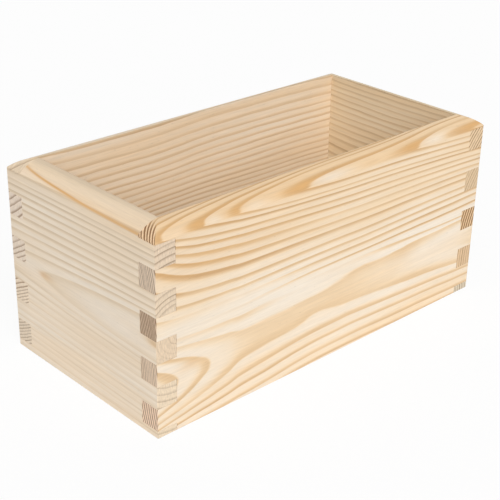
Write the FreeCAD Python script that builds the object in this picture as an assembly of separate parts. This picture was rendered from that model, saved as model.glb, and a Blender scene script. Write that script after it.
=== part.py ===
import FreeCAD, Part
import math
import os
from FreeCAD import Vector

# Open-topped pine box for drawers and desks: four boards with finger joints at the corners and
# a thin plywood bottom held in a groove. Millimetres, +Z up, origin at the centre of the footprint
# on the surface that the box stands on. The front board faces -Y, the left board faces -X.

# Driving sizes
length = 240.0              # outside, along X
depth = 120.0               # outside, along Y
height = 110.0              # outside, along Z
board_thickness = 12.0      # all four boards
rim_flat = 0.5              # flat strip left on top of each board, beside the opening
rim_drop = 5.7              # how far the rounded rim falls towards the outer face
rim_radius = 21.0           # radius of that shallow rounding
rim_edge_radius = 0.8       # sanded edge where the rounding meets the outer face
corner_radius = 0.4         # sanded upright corners, and the mitre lines of the rounded rim
foot_radius = 0.5           # eased outer edges at the foot
finger_height = 12.4        # one full finger of the corner joints
lowest_finger = 4.3         # the end boards' short finger at the foot
least_finger = 2.0          # no finger at the rim is lower than this
joint_clearance = 0.06      # glue line between neighbouring fingers
panel_thickness = 4.0       # plywood bottom
panel_foot_gap = 5.0        # from the surface that the box stands on up to the bottom panel
groove_depth = 5.0          # how far the groove goes into each board
groove_clearance = 0.15     # free height above the panel inside its groove
panel_play = 0.5            # free space round the panel's edge, so that the boards can shrink

# Sizes that follow from them
rim_width = board_thickness - rim_flat
rim_foot = height - rim_drop            # where the outer face ends and the rounding begins
half_length = length / 2
half_depth = depth / 2
inner_half_length = half_length - board_thickness
inner_half_depth = half_depth - board_thickness
half_joint = joint_clearance / 2
groove_height = panel_thickness + groove_clearance
margin = 1.0                # cutters pass this far beyond the wood


def box(x0, x1, y0, y1, z0, z1):
    """A box between two opposite corners."""
    return Part.makeBox(x1 - x0, y1 - y0, z1 - z0, Vector(x0, y0, z0))


def rim_profile(half_width):
    """Upright section across the whole box, in the XZ plane, with both upper corners rounded."""
    chord = math.hypot(rim_width, rim_drop)
    reach = math.sqrt(rim_radius ** 2 - (chord / 2) ** 2)
    # the rounding's middle point, on the square bisector of its chord
    swell = rim_radius - reach
    middle_x = half_width - rim_width / 2 + swell * rim_drop / chord
    middle_z = height - rim_drop / 2 + swell * rim_width / chord
    points = {side: [Vector(side * x, 0, z) for x, z in (
        (half_width, 0), (half_width, rim_foot), (middle_x, middle_z), (half_width - rim_width, height))]
        for side in (-1, 1)}
    left_foot, left_edge, left_middle, left_top = points[-1]
    right_foot, right_edge, right_middle, right_top = points[1]
    edges = [
        Part.LineSegment(left_foot, right_foot),
        Part.LineSegment(right_foot, right_edge),
        Part.Arc(right_edge, right_middle, right_top),
        Part.LineSegment(right_top, left_top),
        Part.Arc(left_top, left_middle, left_edge),
        Part.LineSegment(left_edge, left_foot),
    ]
    return Part.Face(Part.Wire([edge.toShape() for edge in edges]))


def is_rim_edge(edge):
    """True for the level edges where an outer face ends and the rim's rounding begins."""
    return edge.BoundBox.ZLength < 0.01 and abs(edge.BoundBox.ZMin - rim_foot) < 0.01


def is_upright_or_mitre(edge):
    """True for the four upright corners and for the rim's four mitre lines above them."""
    start, end = edge.Vertexes[0].Point, edge.Vertexes[-1].Point
    run = end - start
    climbs = abs(run.z) > 0.1
    return climbs and abs(abs(run.x) - abs(run.y)) < 0.01


def is_foot(edge):
    """True for edges that lie on the surface that the box stands on."""
    return edge.BoundBox.ZMax < 0.01


def outer_form():
    """The box's outside as one solid block: what a router and sander leave of the four boards."""
    along_depth = rim_profile(half_length)
    along_depth.translate(Vector(0, -half_depth, 0))
    along_length = rim_profile(half_depth)
    along_length.rotate(Vector(0, 0, 0), Vector(0, 0, 1), 90)
    along_length.translate(Vector(-half_length, 0, 0))
    form = along_depth.extrude(Vector(0, depth, 0)).common(along_length.extrude(Vector(length, 0, 0)))
    form = form.makeFillet(rim_edge_radius, [edge for edge in form.Edges if is_rim_edge(edge)])
    form = form.makeFillet(corner_radius, [edge for edge in form.Edges if is_upright_or_mitre(edge)])
    return form.makeFillet(foot_radius, [edge for edge in form.Edges if is_foot(edge)])


def finger_rows():
    """Lower and upper height of each finger, from the foot up. Even rows belong to the end boards."""
    levels = [0.0, lowest_finger]
    while levels[-1] + finger_height < height - least_finger:
        levels.append(levels[-1] + finger_height)
    levels.append(height)
    return list(zip(levels[:-1], levels[1:]))


def row_cutters(row_parity, reach_x, reach_y):
    """Blocks that clear the other boards' fingers out of a board, at all four corners of the box."""
    blocks = []
    for row, (low, high) in enumerate(finger_rows()):
        if row % 2 != row_parity:
            continue
        bottom = low - half_joint if low > 0 else -margin
        top = high + half_joint if high < height else height + margin
        for side_x in (-1, 1):
            for side_y in (-1, 1):
                x_near, x_far = side_x * reach_x, side_x * (half_length + margin)
                y_near, y_far = side_y * reach_y, side_y * (half_depth + margin)
                blocks.append(box(min(x_near, x_far), max(x_near, x_far),
                                  min(y_near, y_far), max(y_near, y_far), bottom, top))
    return blocks


def groove():
    """The space that the panel's edge runs in: one flat block, wider than the opening all round."""
    reach_x = inner_half_length + groove_depth
    reach_y = inner_half_depth + groove_depth
    return box(-reach_x, reach_x, -reach_y, reach_y, panel_foot_gap, panel_foot_gap + groove_height)


def long_board(form, side):
    """Front board (side -1) or back board (side 1)."""
    near, far = side * inner_half_depth, side * half_depth
    blank = box(-half_length, half_length, min(near, far), max(near, far), 0, height)
    cutters = row_cutters(0, inner_half_length - half_joint, inner_half_depth - margin)
    return form.common(blank).cut(cutters).cut(groove())


def end_board(form, side):
    """Left board (side -1) or right board (side 1)."""
    near, far = side * inner_half_length, side * half_length
    blank = box(min(near, far), max(near, far), -half_depth, half_depth, 0, height)
    cutters = row_cutters(1, inner_half_length - margin, inner_half_depth - half_joint)
    return form.common(blank).cut(cutters).cut(groove())


def bottom_panel():
    """Plywood panel, loose in the groove of all four boards and resting on its lower side."""
    half_x = inner_half_length + groove_depth - panel_play
    half_y = inner_half_depth + groove_depth - panel_play
    return box(-half_x, half_x, -half_y, half_y, panel_foot_gap, panel_foot_gap + panel_thickness)


def main():
    os.makedirs("parts", exist_ok=True)
    form = outer_form()
    pieces = {
        "front_board": long_board(form, -1),
        "back_board": long_board(form, 1),
        "left_board": end_board(form, -1),
        "right_board": end_board(form, 1),
        "bottom_panel": bottom_panel(),
    }
    for name, shape in pieces.items():
        print(name, "solids", len(shape.Solids), "volume cm3", round(shape.Volume / 1000, 2))
        shape.exportStep(os.path.join("parts", name + ".step"))


main()
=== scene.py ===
import math

import bpy
from mathutils import Matrix, Vector


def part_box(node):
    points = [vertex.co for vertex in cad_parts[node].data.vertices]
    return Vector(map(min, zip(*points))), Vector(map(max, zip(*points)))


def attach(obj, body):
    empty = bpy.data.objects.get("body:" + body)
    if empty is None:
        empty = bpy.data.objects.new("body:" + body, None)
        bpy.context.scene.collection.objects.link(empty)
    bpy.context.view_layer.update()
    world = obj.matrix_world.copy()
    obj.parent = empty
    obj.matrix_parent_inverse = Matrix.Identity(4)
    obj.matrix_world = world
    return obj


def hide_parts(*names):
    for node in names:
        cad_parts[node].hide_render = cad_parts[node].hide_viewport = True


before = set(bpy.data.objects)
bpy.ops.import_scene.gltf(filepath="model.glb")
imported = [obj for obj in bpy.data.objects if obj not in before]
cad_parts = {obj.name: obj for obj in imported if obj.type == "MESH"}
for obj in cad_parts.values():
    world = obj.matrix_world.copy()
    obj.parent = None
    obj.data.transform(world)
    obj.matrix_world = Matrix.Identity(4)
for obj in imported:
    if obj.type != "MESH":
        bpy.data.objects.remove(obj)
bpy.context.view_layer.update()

scene = bpy.context.scene
mm = 0.001

# The box's own sizes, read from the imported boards
frontLow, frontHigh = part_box("front_board")
leftLow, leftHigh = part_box("left_board")
panelLow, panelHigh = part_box("bottom_panel")
halfLength = frontHigh.x
halfDepth = -frontLow.y
boxHeight = frontHigh.z
longThick = frontHigh.y - frontLow.y        # front and back boards
endThick = leftHigh.x - leftLow.x           # left and right boards
print("frame read, box", [round(2 * halfLength / mm), round(2 * halfDepth / mm), round(boxHeight / mm)], "mm")


# Helpers for the node trees
def connect(tree, value, socket):       # a link from another node, or a fixed value
    if isinstance(value, bpy.types.NodeSocket):
        tree.links.new(value, socket)
    else:
        socket.default_value = value


def addNode(tree, kind, label="", inputs=None, **settings):
    node = tree.nodes.new(kind)
    node.label = label
    for name, value in settings.items():
        setattr(node, name, value)
    for key, value in (inputs or {}).items():
        connect(tree, value, node.inputs[key])
    return node


def splitPlace(tree, vector):
    return addNode(tree, "ShaderNodeSeparateXYZ", inputs={0: vector}).outputs


def newTree(name, kind, inputs, outputs):
    tree = bpy.data.node_groups.new(name, kind)
    for socketName, socketKind in inputs:
        tree.interface.new_socket(name=socketName, in_out="INPUT", socket_type="NodeSocket" + socketKind)
    for socketName, socketKind in outputs:
        tree.interface.new_socket(name=socketName, in_out="OUTPUT", socket_type="NodeSocket" + socketKind)
    return tree, addNode(tree, "NodeGroupInput").outputs, addNode(tree, "NodeGroupOutput").inputs


def calc(tree, operation, *values, clamp=False, label=""):
    return addNode(tree, "ShaderNodeMath", label, dict(enumerate(values)),
                   operation=operation, use_clamp=clamp).outputs[0]


def vecCalc(tree, operation, *values, label=""):
    node = addNode(tree, "ShaderNodeVectorMath", label, operation=operation)
    for index, value in enumerate(values):
        socket = node.inputs["Scale"] if operation == "SCALE" and index == 1 else node.inputs[index]
        connect(tree, value, socket)
    return node.outputs["Value" if operation == "DOT_PRODUCT" else "Vector"]


def remap(tree, value, low, high, toLow=0.0, toHigh=1.0, smooth=False, label=""):
    return addNode(tree, "ShaderNodeMapRange", label, {
        "Value": value, "From Min": low, "From Max": high, "To Min": toLow, "To Max": toHigh},
        interpolation_type="SMOOTHSTEP" if smooth else "LINEAR").outputs[0]


def noise(tree, place, size, detail=2.0, roughness=0.5):
    scaled = vecCalc(tree, "DIVIDE", place, size)
    return addNode(tree, "ShaderNodeTexNoise", inputs={
        "Vector": scaled, "Scale": 1.0, "Detail": detail, "Roughness": roughness}).outputs[0]


def blendColour(tree, factor, first, second, kind="MIX"):
    return addNode(tree, "ShaderNodeMix", inputs={0: factor, 6: first, 7: second},     # its colour sockets
                   data_type="RGBA", blend_type=kind).outputs[2]


def darken(tree, colour, shade):        # the same shade on red, green and blue
    grey = addNode(tree, "ShaderNodeCombineColor", inputs={0: shade, 1: shade, 2: shade}).outputs[0]
    return blendColour(tree, 1.0, colour, grey, "MULTIPLY")


def addGroup(tree, label, group, inputs):
    return addNode(tree, "ShaderNodeGroup", label, inputs, node_tree=group).outputs


def newMaterial(name):
    material = bpy.data.materials.new(name)
    material.use_nodes = True
    return material, material.node_tree, material.node_tree.nodes["Principled BSDF"]


def finishWood(tree, shader, colour, roughness, height, strength, depth):   # sanded, not varnished
    bump = addNode(tree, "ShaderNodeBump", "grain relief", {
        "Strength": strength, "Distance": depth, "Height": height})
    for value, socket in ((colour, "Base Color"), (roughness, "Roughness"), (bump.outputs[0], "Normal"),
                          (0.3, "Specular IOR Level")):
        connect(tree, value, shader.inputs[socket])


def tint(red, green, blue, share=1.0):     # a colour as a screen shows it, 0 to 255
    return tuple((c / 255 / 12.92) if c < 10.3 else ((c / 255 + 0.055) / 1.055) ** 2.4
                 for c in (red, green, blue)) + (share,)


def curveOf(tree, value, points, straight=False, label=""):     # a curve through given points, in real units
    if isinstance(points, (int, float)):
        return points
    xs, ys = zip(*points)
    lowX, highX, lowY, highY = min(xs), max(xs), min(ys), max(ys)
    node = addNode(tree, "ShaderNodeFloatCurve", label, {"Value": remap(tree, value, lowX, highX)})
    curve = node.mapping.curves[0]
    while len(curve.points) < len(points):
        curve.points.new(0.5, 0.5)
    for point, (x, y) in zip(curve.points, points):
        point.location = ((x - lowX) / (highX - lowX), (y - lowY) / (highY - lowY))
        point.handle_type = "VECTOR" if straight else "AUTO_CLAMPED"
    node.mapping.update()
    return remap(tree, node.outputs[0], 0.0, 1.0, lowY, highY)


# Pine: the rings are solid, so faces, rounded rims and end grain all cut the same tree.
# Board places are in mm: X along the board from its left end, Y inwards from its outer face, Z up.
def fallOff(tree, square):      # 1 in the middle, about a third at one reach, then soon nothing
    return calc(tree, "EXPONENT", calc(tree, "MULTIPLY", square, -1.0))


def makeSwellTree():
    tree, given, result = newTree("swell", "ShaderNodeTree", [
        ("Place", "Vector"), ("Centre", "Vector"), ("Reach", "Vector"), ("Amount", "Float")],
        [("Swell", "Float")])
    away = vecCalc(tree, "SUBTRACT", given["Place"], given["Centre"])
    away = vecCalc(tree, "DIVIDE", away, given["Reach"])
    square = vecCalc(tree, "DOT_PRODUCT", away, away)
    tree.links.new(calc(tree, "MULTIPLY", fallOff(tree, square), given["Amount"]), result["Swell"])
    return tree


farAway = 1e5       # a reach that leaves one direction out


def swells(tree, place, items):     # items: (along, up, reach along, reach up, amount)
    total = 0.0
    for along, up, reachAlong, reachUp, amount in items:
        swell = addGroup(tree, "swell", swellTree, {
            "Place": place, "Centre": (along, 0, up), "Reach": (reachAlong, farAway, reachUp),
            "Amount": amount})[0]
        total = calc(tree, "ADD", swell, total)
    return total


wobble = {      # how a tree strays from round: size of each wave in mm, and how far it moves a ring
    "broad": (60, 20, 20), "broadShare": 1.6,
    "small": (14, 5, 5), "smallShare": 0.55,
}


def makeRingTree(data):
    tree, given, result = newTree("growthRings", "ShaderNodeTree", [
        ("Place", "Vector"), ("Pith Depth", "Float"), ("Pith Height", "Float"), ("Origin", "Float"),
        ("Shift", "Float"), ("Wander", "Float"), ("Seed", "Float")], [("Distance", "Float")])
    split = splitPlace(tree, given["Place"])
    deep = calc(tree, "SUBTRACT", given["Pith Depth"], split["Y"])
    high = calc(tree, "SUBTRACT", split["Z"], given["Pith Height"])
    radius = calc(tree, "SQRT", calc(tree, "MULTIPLY_ADD", deep, deep, calc(tree, "MULTIPLY", high, high)))
    seeded = vecCalc(tree, "ADD", given["Place"], addNode(
        tree, "ShaderNodeCombineXYZ", inputs={axis: given["Seed"] for axis in range(3)}).outputs[0])
    wander = 0.0
    for wave, detail in (("broad", 1.0), ("small", 2.0)):
        stray = calc(tree, "SUBTRACT", noise(tree, seeded, data[wave], detail), 0.5)
        wander = calc(tree, "MULTIPLY_ADD", stray, data[wave + "Share"], wander)
    moved = calc(tree, "MULTIPLY_ADD", wander, given["Wander"], given["Shift"])
    away = calc(tree, "ADD", calc(tree, "SUBTRACT", radius, given["Origin"]), moved)
    tree.links.new(away, result["Distance"])
    return tree


pine = {
    "early": tint(247, 235, 218),       # spring wood
    "warm": tint(245, 217, 179),        # the same wood where it is yellower
    "honey": tint(243, 213, 171),       # where summer wood sets in
    "late": tint(221, 184, 139),        # summer wood
    "lateDark": tint(194, 148, 98),
    "greyHoney": tint(236, 219, 194),   # the same three where the rings are greyer
    "greyLate": tint(212, 194, 168),
    "greyDark": tint(184, 163, 136),
    "amber": (0.945, 0.88, 0.80, 1),    # resin-rich wood near the rim, against the rest
    "resin": tint(224, 177, 118),       # its summer wood, and the streaks
    "lateStart": (0.14, 0.34),          # share of a ring where the summer wood begins, ring by ring
    "latePower": 1.25,                  # above 1 it sets in more slowly
    "latePeak": 0.88,                   # where it is darkest, just before winter
    "lateStrength": (0.62, 1.0),        # ring by ring
    "patches": (90, 9, 9),              # mm along, inwards and up: where rings are fainter or clearer
    "patchStrength": (0.75, 1.1),
    "drift": (110, 12, 14),             # mm, slow changes of warmth
    "fineFibre": (9, 0.35, 0.35),       # mm
    "coarseFibre": (45, 1.3, 1.3),
    "fibreShade": (0.90, 1.06),
    "canals": (5.0, 0.8, 0.8),          # mm, one resin canal's room
    "canalShare": 0.10,                 # of these rooms hold one
    "canalShade": 0.86,
    "pores": (6, 0.22, 0.22),           # mm, on sawn ends
    "poreShade": (0.90, 1.06),
    "blotches": (6, 0.5, 3),            # mm, on sawn ends
    "blotchShade": (0.84, 1.14),
    "relief": 0.05 * mm,                # how far sanding leaves the grain standing
}


def makePineTree(data):
    tree, given, result = newTree("pineSurface", "ShaderNodeTree", [
        ("Place", "Vector"), ("Ring", "Float"), ("Warmth", "Float"), ("Contrast", "Float"),
        ("End Grain", "Float"), ("End Tint", "Color"), ("End Line", "Color"), ("End Lines", "Float"),
        ("Greyness", "Float"), ("Amber", "Float"), ("Seed", "Float")],
        [("Color", "Color"), ("Roughness", "Float"), ("Height", "Float")])
    place, end = given["Place"], given["End Grain"]
    number = calc(tree, "FLOOR", given["Ring"], label="which ring")
    share = calc(tree, "SUBTRACT", given["Ring"], number, label="how far through it")
    drawn = addNode(tree, "ShaderNodeTexWhiteNoise", "each ring differs", {
        "W": calc(tree, "ADD", number, given["Seed"])}, noise_dimensions="1D").outputs
    start = remap(tree, drawn["Value"], 0.0, 1.0, *data["lateStart"])
    rise = remap(tree, share, start, data["latePeak"], smooth=True, label="summer wood sets in")
    stop = remap(tree, share, data["latePeak"], 1.0, 1.0, 0.0, smooth=True, label="winter")
    summer = calc(tree, "MULTIPLY", calc(tree, "POWER", rise, data["latePower"]), stop)
    patchy = remap(tree, noise(tree, place, data["patches"], 1.0), 0.3, 0.7, *data["patchStrength"])
    summer = calc(tree, "MULTIPLY", summer, remap(tree, drawn["Value"], 0.0, 1.0, *data["lateStrength"]))
    late = calc(tree, "MULTIPLY", calc(tree, "MULTIPLY", summer, patchy), given["Contrast"], clamp=True)
    # colours
    drift = noise(tree, place, data["drift"], 1.0)
    warmth = calc(tree, "ADD", given["Warmth"], remap(tree, drift, 0.3, 0.7, -0.25, 0.25), clamp=True)
    colour = blendColour(tree, warmth, data["early"], data["warm"])
    for low, high, most, plain, grey in ((0.0, 0.5, 1.0, "honey", "greyHoney"),
                                         (0.3, 0.85, 1.0, "late", "greyLate"),
                                         (0.8, 1.1, 0.7, "lateDark", "greyDark")):
        stage = blendColour(tree, given["Greyness"], data[plain], data[grey])
        colour = blendColour(tree, remap(tree, late, low, high, 0.0, most), colour, stage)
    # resin-rich stretches: all the wood is more amber, and above 1 the resin itself shows
    resinous = calc(tree, "MAXIMUM", late, calc(tree, "SUBTRACT", given["Amber"], 1.0), clamp=True)
    amber = blendColour(tree, 1.0, colour, data["amber"], "MULTIPLY")
    colour = blendColour(tree, given["Amber"], colour, blendColour(tree, resinous, amber, data["resin"]))
    # fibres and resin canals, drawn out along the board
    fine = noise(tree, place, data["fineFibre"], 2.0, 0.6)
    coarse = noise(tree, place, data["coarseFibre"], 2.0, 0.55)
    fibre = calc(tree, "ADD", calc(tree, "MULTIPLY", fine, 0.5), calc(tree, "MULTIPLY", coarse, 0.5))
    canals = addNode(tree, "ShaderNodeTexVoronoi", "resin canals", {
        "Vector": vecCalc(tree, "DIVIDE", place, data["canals"]), "Scale": 1.0}, feature="F1").outputs
    near = remap(tree, canals["Distance"], 0.10, 0.22, 1.0, 0.0)
    few = calc(tree, "LESS_THAN", addNode(tree, "ShaderNodeSeparateColor", inputs={
        0: canals["Color"]}).outputs[0], data["canalShare"])
    canal = calc(tree, "MULTIPLY", near, few)
    shade = calc(tree, "MULTIPLY", remap(tree, fibre, 0.3, 0.7, *data["fibreShade"]),
                 remap(tree, canal, 0.0, 1.0, 1.0, data["canalShade"]))
    colour = darken(tree, colour, shade)
    # sawn ends: darker rings, wider where they are clearer, and open pores that drink in the light
    thinner = calc(tree, "MULTIPLY_ADD", given["End Lines"], -2.0, 3.1)
    endLate = calc(tree, "MULTIPLY", calc(tree, "POWER", summer, thinner), given["End Lines"])
    endLate = calc(tree, "MULTIPLY", endLate, 3.6, clamp=True)
    endDark = blendColour(tree, 1.0, given["End Tint"], given["End Line"], "MULTIPLY")
    endColour = blendColour(tree, endLate, given["End Tint"], endDark)
    pores = noise(tree, place, data["pores"], 3.0, 0.7)
    blotches = noise(tree, place, data["blotches"], 2.0, 0.7)
    endShade = calc(tree, "MULTIPLY", remap(tree, pores, 0.35, 0.65, *data["poreShade"]),
                    remap(tree, blotches, 0.3, 0.7, *data["blotchShade"]))
    colour = blendColour(tree, end, colour, darken(tree, endColour, endShade))
    tree.links.new(colour, result["Color"])
    rough = calc(tree, "MULTIPLY_ADD", late, -0.12, 0.62)
    tree.links.new(calc(tree, "MULTIPLY_ADD", fine, 0.08, rough), result["Roughness"])
    relief = calc(tree, "MULTIPLY_ADD", late, 0.5, calc(tree, "MULTIPLY", fine, 0.45))
    relief = calc(tree, "MULTIPLY_ADD", calc(tree, "MULTIPLY", pores, end), 0.8, relief)
    tree.links.new(calc(tree, "MULTIPLY_ADD", canal, -0.4, relief), result["Height"])
    return tree


swellTree = makeSwellTree()
ringTree = makeRingTree(wobble)
pineTree = makePineTree(pine)


def fingerTints(tree, height, firstChange, colours):      # one tint for each of the board's own fingers
    top = boxHeight / mm
    pitch = 2 * comb["fingerHeight"] / mm
    node = addNode(tree, "ShaderNodeValToRGB", "tint of each finger", {0: remap(tree, height, 0.0, top)})
    ramp = node.color_ramp
    ramp.interpolation = "CONSTANT"
    ramp.elements.remove(ramp.elements[-1])
    ramp.elements[0].color = colours[0]
    for index, colour in enumerate(colours[1:]):
        ramp.elements.new((firstChange + index * pitch) / top).color = colour
    return node.outputs         # the tint, and how clear its rings are


def resinStreak(tree, split, streak):       # a thin line along the board, by its height at each place
    if not streak:
        return 0.0
    height = curveOf(tree, split["X"], streak["heights"], label="resin streak")
    off = calc(tree, "DIVIDE", calc(tree, "SUBTRACT", split["Z"], height), streak["reach"])
    return calc(tree, "MULTIPLY", fallOff(tree, calc(tree, "MULTIPLY", off, off)), streak["amount"])


def makePine(name, data):
    material, tree, shader = newMaterial(name)
    coords = addNode(tree, "ShaderNodeTexCoord").outputs
    place = addNode(tree, "ShaderNodeMapping", "place on the board, mm", {
        "Vector": coords["Object"], "Location": data["corner"],
        "Rotation": (0, 0, math.radians(data["turn"])), "Scale": (1 / mm, 1 / mm, 1 / mm)}).outputs[0]
    split = splitPlace(tree, place)
    shift = calc(tree, "ADD", curveOf(tree, split["X"], data["shift"], label="rings shift"),
                 swells(tree, place, data["swells"]))
    distance = addGroup(tree, "growth rings", ringTree, {
        "Place": place, "Pith Depth": curveOf(tree, split["X"], data["pithDepth"]),
        "Pith Height": data["pithHeight"], "Origin": data["origin"],
        "Shift": shift, "Wander": data["wander"], "Seed": data["seed"]})[0]
    ringEnds = [(away, count + pine["latePeak"]) for away, count in data["rings"]]
    number = curveOf(tree, distance, ringEnds, straight=True, label="ring count by distance")
    facing = vecCalc(tree, "DOT_PRODUCT", coords["Normal"], data["along"])
    end = remap(tree, calc(tree, "ABSOLUTE", facing), 0.2, 0.5, smooth=True, label="sawn end")
    warmth = calc(tree, "ADD", curveOf(tree, split["Z"], data["warmth"], label="warmer higher up"),
                  swells(tree, place, data["warmSpots"]))
    contrast = calc(tree, "ADD", data["contrast"], swells(tree, place, data["paleSpots"]))
    amber = calc(tree, "ADD", swells(tree, place, data["amberSpots"]),
                 resinStreak(tree, split, data["resinStreak"]))
    fingers = fingerTints(tree, split["Z"], data["firstTintChange"], data["endTints"])
    surface = addGroup(tree, "pine", pineTree, {
        "Place": place, "Ring": number, "Warmth": warmth, "Contrast": calc(tree, "MAXIMUM", contrast, 0.0),
        "End Grain": end, "End Tint": fingers["Color"], "End Lines": fingers["Alpha"],
        "End Line": data["endLine"], "Greyness": data["greyness"], "Amber": amber, "Seed": data["seed"]})
    # a tint over the whole board: a slight warm tone on the left board, painted greenish reflected light on
    # the right board
    colour = blendColour(tree, 1.0, surface["Color"], data["tintAndPaintedReflection"], "MULTIPLY")
    finishWood(tree, shader, colour, surface["Roughness"], surface["Height"], 0.6, pine["relief"])
    return material


outside = {
    "rimFlat": 0.5 * mm,        # strip left flat beside the opening
    "rimDrop": 5.7 * mm,        # how far the rounded rim falls towards the outer face
    "rimSlack": 0.02 * mm,      # the rim lies this much low, so its eased edges keep to the box's height
    "rimRadius": 21.0 * mm,     # of that shallow rounding
    "rimEdge": 0.34 * mm,       # where the rounding meets the outer face, eased this far each way
    "uprightRadius": 0.4 * mm,  # sanded upright corners
    "mitreRadius": 0.8 * mm,    # the same corner where it ends at the top of the rim
    "footRadius": 0.5 * mm,
    "rimSteps": 22,
    "rimEdgeSteps": 6,
    "cornerSteps": 6,
    "footSteps": 5,
}

comb = {
    "fingerHeight": 12.4 * mm,
    "lowestFinger": 4.3 * mm,   # the end boards' short one at the foot
    "glueGap": 0.06 * mm,       # between two fingers
    "teethPerEnd": 5,
    "margin": 2.0 * mm,         # cutters pass this far beyond the wood
    "arris": 0.14 * mm,         # the sharp edges as sandpaper leaves them
    "sharpFrom": 35,            # degrees between two faces
}

groove = {
    "depth": 5.0 * mm,          # into each board
    "height": 4.15 * mm,        # the panel's thickness and a little play
    "foot": 5.0 * mm,           # from the ground up to the groove
}


def linkObject(name, data):
    item = bpy.data.objects.new(name, data)
    scene.collection.objects.link(item)
    return item


def roundedOutline(halfX, halfY, radius, steps):        # one level of the outer form, seen from above
    points = []
    for corner, (signX, signY) in enumerate(((1, 1), (-1, 1), (-1, -1), (1, -1))):
        for step in range(steps + 1):
            angle = math.radians(90 * (corner + step / steps))
            points.append((signX * (halfX - radius) + radius * math.cos(angle),
                           signY * (halfY - radius) + radius * math.sin(angle)))
    return points


def rimSection(data):       # (height, inset) from the outer face up to the flat strip
    width = longThick - data["rimFlat"]
    foot = Vector((0, boxHeight - data["rimSlack"] - data["rimDrop"]))
    chord = Vector((width, data["rimDrop"]))
    reach = math.sqrt(data["rimRadius"] ** 2 - (chord.length / 2) ** 2)
    centre = foot + chord / 2 + Vector((chord.y, -chord.x)).normalized() * reach
    spoke = foot - centre
    sweep = 2 * math.asin(chord.length / 2 / data["rimRadius"])
    first = data["rimEdge"] / data["rimRadius"]
    turns = [first + (sweep - first) * step / data["rimSteps"] for step in range(data["rimSteps"] + 1)]
    curved = [centre + Matrix.Rotation(-turn, 2) @ spoke for turn in turns]
    below = foot - Vector((0, data["rimEdge"]))
    eased = []
    for step in range(data["rimEdgeSteps"]):
        share = step / data["rimEdgeSteps"]
        eased.append(below * (1 - share) ** 2 + foot * 2 * share * (1 - share) + curved[0] * share ** 2)
    return [(point.y, point.x) for point in eased + curved]


def makeOuterForm(name, data):
    levels = []                             # (height, inset, corner radius)
    for step in range(data["footSteps"] + 1):
        turn = math.radians(90 * step / data["footSteps"])
        levels.append((data["footRadius"] * (1 - math.cos(turn)),
                       data["footRadius"] * (1 - math.sin(turn)), data["uprightRadius"]))
    section = rimSection(data)
    for height, inset in section:
        grow = inset / section[-1][1] * (data["mitreRadius"] - data["uprightRadius"])
        levels.append((height, inset, data["uprightRadius"] + grow))
    verts = []
    for z, inset, radius in levels:
        outline = roundedOutline(halfLength - inset, halfDepth - inset, radius, data["cornerSteps"])
        verts += [(x, y, z) for x, y in outline]
    count = len(outline)
    faces = [tuple(reversed(range(count)))]
    for start in range(0, len(verts) - count, count):
        for i in range(count):
            j = (i + 1) % count
            faces.append((start + i, start + j, start + count + j, start + count + i))
    faces.append(tuple(range(len(verts) - count, len(verts))))
    mesh = bpy.data.meshes.new(name)
    mesh.from_pydata(verts, [], faces)
    mesh.validate()
    return linkObject(name, mesh)


def makeBoardTree():
    tree, given, result = newTree("fingerJointedBoard", "GeometryNodeTree", [
        ("Outer Form", "Object"), ("Blank Centre", "Vector"), ("Blank Size", "Vector"),
        ("First Tooth", "Vector"), ("Across", "Vector"), ("Tooth Size", "Vector"),
        ("Tooth Pitch", "Float"), ("Teeth", "Int"),
        ("Groove Centre", "Vector"), ("Groove Size", "Vector"), ("Wood", "Material")],
        [("Board", "Geometry")])

    def step(kind, label, inputs, **settings):
        return addNode(tree, "GeometryNode" + kind, label, inputs, **settings).outputs[0]

    def move(geometry, shift, label=""):
        return step("Transform", label, {"Geometry": geometry, "Translation": given[shift]})

    def boolean(operation, label, first, others):
        node = addNode(tree, "GeometryNodeMeshBoolean", label, operation=operation, solver="EXACT")
        if first:
            tree.links.new(first, node.inputs["Mesh 1"])
        for other in others:
            tree.links.new(other, node.inputs["Mesh 2"])
        return node.outputs["Mesh"]

    form = addNode(tree, "GeometryNodeObjectInfo", inputs={"Object": given["Outer Form"]}).outputs["Geometry"]
    blank = move(step("MeshCube", "plank", {"Size": given["Blank Size"]}), "Blank Centre")
    plank = boolean("INTERSECT", "rounded plank", None, (form, blank))
    up = addNode(tree, "ShaderNodeCombineXYZ", "up to the next tooth", {"Z": given["Tooth Pitch"]}).outputs[0]
    nearEnd = step("MeshLine", "one comb", {
        "Count": given["Teeth"], "Start Location": given["First Tooth"], "Offset": up}, mode="OFFSET")
    both = addNode(tree, "GeometryNodeJoinGeometry")
    for end in (nearEnd, move(nearEnd, "Across", "comb at the other end")):
        tree.links.new(end, both.inputs[0])
    tooth = step("MeshCube", "tooth gap", {"Size": given["Tooth Size"]})
    teeth = step("InstanceOnPoints", "teeth", {"Points": both.outputs[0], "Instance": tooth})
    teeth = step("RealizeInstances", "", {"Geometry": teeth})
    combed = boolean("DIFFERENCE", "comb joints", plank, [teeth])
    channel = move(step("MeshCube", "panel groove", {"Size": given["Groove Size"]}), "Groove Centre")
    grooved = boolean("DIFFERENCE", "groove", combed, [channel])
    real = step("RealizeInstances", "", {"Geometry": grooved})
    board = step("SetMaterial", "", {"Geometry": real, "Material": given["Wood"]})
    tree.links.new(board, result["Board"])
    return tree


def socketIdentifier(tree, name):
    return next(item.identifier for item in tree.interface.items_tree
                if item.item_type == "SOCKET" and item.in_out == "INPUT" and item.name == name)


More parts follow.
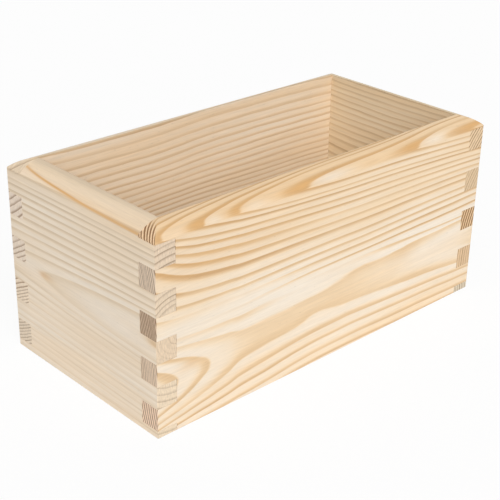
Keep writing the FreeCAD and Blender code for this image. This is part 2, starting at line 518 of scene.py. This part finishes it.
def growBoard(name, tree, values):
    holder = linkObject(name + "Nodes", bpy.data.meshes.new(name + "Nodes"))
    modifier = holder.modifiers.new("board", "NODES")
    modifier.node_group = tree
    for key, value in values.items():
        modifier[socketIdentifier(tree, key)] = value
    bpy.context.view_layer.update()
    evaluated = holder.evaluated_get(bpy.context.evaluated_depsgraph_get())
    mesh = bpy.data.meshes.new_from_object(evaluated)
    mesh.name = name
    bpy.data.objects.remove(holder)
    return linkObject(name, mesh)


def finishBoard(board, node):
    for polygon in board.data.polygons:
        polygon.use_smooth = True
    bevel = board.modifiers.new("arris", "BEVEL")
    bevel.width = comb["arris"]
    bevel.segments = 2
    bevel.limit_method = "ANGLE"
    bevel.angle_limit = math.radians(comb["sharpFrom"])
    bevel.use_clamp_overlap = False
    bevel.harden_normals = True
    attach(board, "root")
    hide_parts(node)


def halfSizes(isLong):      # along the board, and from the box's middle out to its outer face
    return (halfLength, halfDepth) if isLong else (halfDepth, halfLength)


def boardValues(isLong, side, form, wood):
    gap = comb["glueGap"]
    margin = comb["margin"]
    thick, otherThick = (longThick, endThick) if isLong else (endThick, longThick)
    halfRun, halfCross = halfSizes(isLong)
    firstTooth = comb["lowestFinger"] + comb["fingerHeight"] * (-0.5 if isLong else 0.5)
    run = halfRun - otherThick / 2 - gap / 4 + margin / 2
    place = side * (halfCross - thick / 2)

    def swap(along, across, z):
        return (along, across, z) if isLong else (across, along, z)

    return {
        "Outer Form": form,
        "Blank Centre": swap(0, place + side * margin, boxHeight / 2),
        "Blank Size": swap(2 * (halfRun + margin), thick + 2 * margin, boxHeight + 2 * margin),
        "First Tooth": swap(-run, place, firstTooth),
        "Across": swap(2 * run, 0, 0),
        "Tooth Size": swap(otherThick + gap / 2 + margin, thick + 2 * margin, comb["fingerHeight"] + gap),
        "Tooth Pitch": 2 * comb["fingerHeight"],
        "Teeth": comb["teethPerEnd"],
        "Groove Centre": (0, 0, groove["foot"] + groove["height"] / 2),
        "Groove Size": (2 * (halfLength - endThick + groove["depth"]),
                        2 * (halfDepth - longThick + groove["depth"]), groove["height"]),
        "Wood": wood,
    }


# Each board's tree and what lies where on it, in mm. Swells push the rings outwards or inwards, warm and
# amber spots tint, pale spots weaken the rings: (along, up, reach along, reach up, amount). An end tint is
# for one finger, from the lowest up, and its last number says how clear the rings are there.
boards = {
    "front_board": {
        "name": "frontBoard", "isLong": True, "side": -1, "turn": 0, "along": (1, 0, 0), "seed": 3.0,
        "pithDepth": 98, "pithHeight": 36, "origin": 98, "wander": 0.15,
        "shift": [(0, -3.55), (15, -2.6), (30, -1.65), (45, -0.85), (60, -0.3), (85, -0.05), (130, 0),
                  (184, -0.3), (240, -0.9)],
        "swells": [(-8, 96, 22, 17, -2.25), (56, -5, 42, 21, -1.6), (-9, 56, 50, 27, 3.1),
                   (290, 90, 67, 21.5, 2.75), (252, 52, 83, 2, 0.55), (51, 102, 80, 20.5, -3.65),
                   (158, -15, 138, 29, -2.35), (136, 51, 71, 8, -0.75), (160, 104, 53, 15, -1.35),
                   (31, 104, 46, 5, -0.95), (110, 110.5, 51, 3.5, 0.5), (215, 111, 36, 7, 1.35),
                   (120, 104.3, 400, 1.5, -0.42), (98, 44, 28, 5, 0.12), (109, 29.5, 12, 3.5, 0.13),
                   (164, 47.5, 20, 4, 0.12)],
        "rings": [(-14.7, -11), (-1.75, -1), (-0.9, 0), (0, 1), (0.8, 2), (1.7, 3), (3, 4), (4.2, 5),
                  (5.5, 6), (7.4, 7), (8.85, 8), (10.35, 9), (11.9, 10), (13.25, 11), (14.9, 12), (16, 13),
                  (17.85, 14), (19.6, 15), (21.15, 16), (24, 18)],
        "warmth": [(0, 0.45), (20, 0.4), (36, 0.25), (52, 0.12), (60, 0.4), (80, 0.6), (98, 0.75), (104, 1)],
        "warmSpots": [(36, 105.3, 5, 1.5, -0.4), (62, 105.3, 7, 1.5, -0.4), (114, 105.6, 16, 1.7, -0.7),
                      (198, 105.6, 14, 1.7, -0.6)],
        "contrast": 1.05,
        "paleSpots": [(18, 56, 55, 9, -1.0), (70, 58.5, 36, 4.5, -0.5), (88, 51, 30, 3, -0.9),
                      (135, 52.5, 30, 3, -0.8), (228, 36.5, 26, 10, -0.95), (192, 36, 15, 4.5, -0.7),
                      (198, 48.5, 14, 3, -0.3), (30, 66.5, 17, 2.5, 0.35), (120, 38, 80, 9, -0.35),
                      (20, 32, 22, 12, -0.45), (140, 8, 130, 16, -0.22), (120, 108, 400, 7, 0.25),
                      (30, 84, 60, 14, 0.15), (178, 106, 16, 3, 0.3), (230, 106, 16, 3, -0.35)],
        "amberSpots": [(19, 33.8, 6, 3, 1.0), (178, 41.5, 9, 3, 0.45), (30, 88, 60, 9, 0.6),
                       (50, 106.5, 70, 4.5, 0.5), (150, 108, 80, 4, 0.4), (8, 106, 12, 8, 0.3),
                       (24, 105.8, 9, 1.8, 0.4), (50, 105.8, 9, 1.8, 0.4), (90, 106, 16, 2, 0.6),
                       (144, 105.3, 10, 1.1, 0.5), (178, 106, 14, 2, 0.7), (232, 105.6, 16, 2.4, 0.9)],
        "resinStreak": None,
        "endTints": [tint(250, 222, 196, 0.68), tint(231, 207, 181, 0.42), tint(212, 186, 159, 0.72),
                     tint(230, 209, 185, 0.45), tint(250, 216, 176, 1)],
        "endLine": (0.31, 0.22, 0.15, 1),       # ring lines on its sawn ends, against the tint there
        "greyness": 0.1,
        "tintAndPaintedReflection": (1, 1, 1, 1),
    },
    "back_board": {
        "name": "backBoard", "isLong": True, "side": 1, "turn": 180, "along": (1, 0, 0), "seed": 11.0,
        "pithDepth": -96, "pithHeight": 232, "origin": 96, "wander": 1.0,
        "shift": [(0, 0), (90, 1.2), (170, -0.6), (240, 0.8)],
        "swells": [(150, 60, 40, 16, 1.6)],
        "rings": [(34, 0), (78, 10.5), (104, 18), (125, 26), (159, 46)],
        "warmth": [(0, 0.4), (60, 0.35), (110, 0.5)],
        "warmSpots": [], "contrast": 0.85, "paleSpots": [], "amberSpots": [], "resinStreak": None,
        "endTints": [tint(236, 219, 196, 0.45), tint(246, 227, 203, 0.55), tint(242, 224, 204, 0.45),
                     tint(243, 225, 206, 0.5), tint(238, 216, 187, 0.22)],
        "endLine": (0.50, 0.42, 0.35, 1),
        "greyness": 0.4,
        "tintAndPaintedReflection": (1, 1, 1, 1),
    },
    "left_board": {
        "name": "leftBoard", "isLong": False, "side": -1, "turn": 90, "along": (0, 1, 0), "seed": 23.0,
        "pithDepth": [(0, 17.5), (27, 16.3), (112, 12.5), (120, 12.3)],
        "pithHeight": 54, "origin": 16.3, "wander": 0.25,
        "shift": 0,
        "swells": [(75, 45, 60, 7, -0.45), (75, 61, 60, 7, 0.45)],
        "rings": [(-16.3, -6), (-3.85, -1), (0, 0), (2.5, 1), (4.95, 2), (8.2, 3), (11.7, 4), (15.35, 5),
                  (18.9, 6), (22.4, 7), (26.1, 8), (29.5, 9), (32.1, 10), (36.5, 11), (40.6, 12), (45, 13)],
        "warmth": [(0, 0.3), (50, 0.15), (98, 0.35), (104, 0.6), (110, 0.6)],
        "warmSpots": [],
        "contrast": 0.85,
        "paleSpots": [(60, 22, 300, 30, -0.4), (80, 53, 45, 8, -0.25)],
        "amberSpots": [(29, 53.3, 7, 2.2, 0.8), (118, 52, 5, 2.5, 0.7), (60, 105.8, 200, 1.3, 0.45)],
        "resinStreak": {
            "heights": [(0, 108.4), (12, 107.5), (21, 106.75), (33, 106.1), (50, 105.5), (67, 105),
                        (83, 104.8), (107, 104.6), (120, 104.55)],
            "reach": 0.5, "amount": 1.6},
        "endTints": [tint(238, 221, 195, 0.25), tint(238, 220, 194, 0.28), tint(233, 212, 185, 0.13),
                     tint(233, 214, 189, 0.32), tint(232, 212, 188, 0.36)],
        "endLine": (0.50, 0.44, 0.38, 1),
        "greyness": 0.85,
        "tintAndPaintedReflection": (1, 0.98, 0.96, 1),
    },
    "right_board": {
        "name": "rightBoard", "isLong": False, "side": 1, "turn": -90, "along": (0, 1, 0), "seed": 37.0,
        "pithDepth": -85, "pithHeight": 18, "origin": 85, "wander": 0.8,
        "shift": [(0, 0), (60, 0.7), (120, -0.3)],
        "swells": [],
        "rings": [(-5, 0), (75, 37)],
        "warmth": [(0, 0.5), (110, 0.6)],
        "warmSpots": [], "contrast": 0.9, "paleSpots": [], "amberSpots": [], "resinStreak": None,
        "endTints": [tint(225, 210, 188, 0.35), tint(232, 199, 162, 0.32), tint(242, 208, 168, 1),
                     tint(230, 201, 166, 0.27), tint(240, 210, 174, 0.46)],
        "endLine": (0.36, 0.24, 0.14, 1),
        # Painted reflection and shade: part of this greyness and all of the greenish tint below stand for
        # coloured light bounced onto the board's inner face
        "greyness": 0.5,
        "tintAndPaintedReflection": (0.97, 0.985, 0.96, 1),
    },
}

outerForm = makeOuterForm("outerForm", outside)
boardTree = makeBoardTree()
for node, data in boards.items():
    halfRun, halfCross = halfSizes(data["isLong"])
    data["corner"] = (halfRun / mm, halfCross / mm, 0)      # mm are counted from this foot corner
    firstGap = comb["fingerHeight"] * (1.5 if data["isLong"] else 0.5)
    data["firstTintChange"] = (comb["lowestFinger"] + firstGap) / mm
    wood = makePine(data["name"] + "Pine", data)
    board = growBoard(data["name"], boardTree, boardValues(data["isLong"], data["side"], outerForm, wood))
    finishBoard(board, node)
    print("board", board.name, len(board.data.polygons), "faces")
bpy.data.objects.remove(outerForm)


plywood = {
    "early": tint(243, 229, 205),       # spring and summer wood of the face veneer
    "late": tint(221, 193, 152),
    "core": tint(214, 188, 150),        # the middle ply shows its end grain
    "glue": tint(142, 104, 70),
    "figure": (150, 24, 60),            # mm, size of the flames that the peeling knife leaves
    "rings": 17,                        # lines from the lowest to the highest flame
    "latePeak": 0.9,                    # share of a line where it is darkest
    "patches": (70, 14, 14),            # mm, where the lines are fainter or clearer
    "patchStrength": (0.35, 0.85),
    "fibre": (12, 0.4, 0.4),            # mm
    "fibreShade": (0.92, 1.04),
    "plies": 3,
    "relief": 0.04 * mm,
}


def makePlywood(name, data):
    material, tree, shader = newMaterial(name)
    coords = addNode(tree, "ShaderNodeTexCoord").outputs
    place = vecCalc(tree, "SCALE", coords["Object"], 1 / mm, label="place, mm")
    # face veneer, peeled off the log
    ring = calc(tree, "MULTIPLY", noise(tree, place, data["figure"], 1.5, 0.4), data["rings"])
    share = calc(tree, "FRACT", ring)
    rise = remap(tree, share, 0.25, data["latePeak"], smooth=True)
    stop = remap(tree, share, data["latePeak"], 1.0, 1.0, 0.0, smooth=True)
    patchy = remap(tree, noise(tree, place, data["patches"], 1.0), 0.3, 0.7, *data["patchStrength"])
    late = calc(tree, "MULTIPLY", calc(tree, "MULTIPLY", rise, stop), patchy)
    colour = blendColour(tree, late, data["early"], data["late"])
    fibre = noise(tree, place, data["fibre"], 3.0, 0.6)
    # edge: plies with a dark glue line between each two
    height = splitPlace(tree, place)["Z"]
    ply = remap(tree, height, panelLow.z / mm, panelHigh.z / mm, 0.0, data["plies"])
    nearJoin = calc(tree, "PINGPONG", ply, 0.5)
    fromMiddle = calc(tree, "ABSOLUTE", calc(tree, "SUBTRACT", ply, data["plies"] / 2))
    core = calc(tree, "LESS_THAN", fromMiddle, 0.5)
    edge = blendColour(tree, core, data["early"], data["core"])
    edge = blendColour(tree, remap(tree, nearJoin, 0.03, 0.06, 1.0, 0.0), edge, data["glue"])
    facing = splitPlace(tree, coords["Normal"])["Z"]
    flat = remap(tree, calc(tree, "ABSOLUTE", facing), 0.4, 0.6)
    colour = blendColour(tree, flat, edge, colour)
    colour = darken(tree, colour, remap(tree, fibre, 0.3, 0.7, *data["fibreShade"]))
    rough = remap(tree, fibre, 0.3, 0.7, 0.66, 0.56)
    height = calc(tree, "MULTIPLY_ADD", late, 0.3, fibre)
    finishWood(tree, shader, colour, rough, height, 0.5, data["relief"])
    return material


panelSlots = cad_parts["bottom_panel"].material_slots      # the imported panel's own shape stays
for slot in panelSlots:
    slot.material = makePlywood("panelPlywood", plywood)
print("bottom panel", len(panelSlots), "material slot")


cameraView = {
    "place": (-410.0 * mm, -426.9 * mm, 329.6 * mm),
    "turn": 43.515,         # degrees from +Y towards +X
    "tilt": -25.992,        # degrees above the horizon
    "roll": 1.201,
    "lens": 84.18,          # mm, on a sensor of this width
    "sensor": 36,
    "reach": (0.01, 20),    # metres, nearest and farthest thing seen
}


def makeCamera(data):
    lens = bpy.data.cameras.new("viewCamera")
    lens.lens = data["lens"]
    lens.sensor_width = data["sensor"]
    lens.clip_start, lens.clip_end = data["reach"]
    camera = linkObject("viewCamera", lens)
    camera.matrix_world = (Matrix.Translation(data["place"])
                           @ Matrix.Rotation(math.radians(-data["turn"]), 4, "Z")
                           @ Matrix.Rotation(math.radians(90 + data["tilt"]), 4, "X")
                           @ Matrix.Rotation(math.radians(data["roll"]), 4, "Z"))
    scene.camera = camera


studio = {
    "keyFrom": (-0.40, -0.66, 0.60),    # the way back to the large soft panel beside the camera
    "keyPower": 2.02,
    "keySoftness": 50,                  # degrees that the panel spans
    "skyPower": 0.42,                   # white walls and ceiling, as the wood receives them
    "floorReach": 3,                    # metres each way
    "floorLight": 0.85,                 # share of the light that the floor sends back to the box
    "floorGlow": 0.9,                   # share of the seen floor that the box's shadow leaves white
}
white = (1, 1, 1, 1)


def addPanel(name, data):
    light = bpy.data.lights.new(name, "SUN")
    light.energy = data["keyPower"]
    light.angle = math.radians(data["keySoftness"])
    lamp = linkObject(name, light)
    lamp.rotation_euler = Vector(data["keyFrom"]).to_track_quat("Z", "Y").to_euler()


def seenDirectly(tree):     # 1 for camera, mirror and glass rays
    path = addNode(tree, "ShaderNodeLightPath").outputs
    return calc(tree, "MAXIMUM", path["Is Camera Ray"],
                calc(tree, "MAXIMUM", path["Is Glossy Ray"], path["Is Transmission Ray"]))


def makeSky(data):
    world = bpy.data.worlds.new("studio")
    scene.world = world
    world.use_nodes = True
    tree = world.node_tree
    sky = tree.nodes["Background"].inputs
    sky["Color"].default_value = white
    tree.links.new(remap(tree, seenDirectly(tree), 0.0, 1.0, data["skyPower"], 1.0), sky["Strength"])


def makeFloor(data):
    reach, sentBack = data["floorReach"], data["floorLight"]
    mesh = bpy.data.meshes.new("floor")
    mesh.from_pydata([(-reach, -reach, 0), (reach, -reach, 0), (reach, reach, 0), (-reach, reach, 0)],
                     [], [(0, 1, 2, 3)])
    material, tree, shader = newMaterial("floor")
    seen = seenDirectly(tree)
    colour = blendColour(tree, seen, (sentBack, sentBack, sentBack, 1), white)
    for value, socket in ((colour, "Base Color"), (0.9, "Roughness"), (0.0, "Specular IOR Level")):
        connect(tree, value, shader.inputs[socket])
    glow = addNode(tree, "ShaderNodeEmission", inputs={"Color": white, "Strength": 1.0})
    mixed = addNode(tree, "ShaderNodeMixShader", inputs={
        0: calc(tree, "MULTIPLY", seen, data["floorGlow"]), 1: shader.outputs[0], 2: glow.outputs[0]})
    tree.links.new(mixed.outputs[0], tree.nodes["Material Output"].inputs["Surface"])
    mesh.materials.append(material)
    linkObject("floor", mesh)


makeCamera(cameraView)
addPanel("keyPanel", studio)
makeSky(studio)
makeFloor(studio)
print("camera, light and floor ready")

scene.view_settings.view_transform = "Standard"
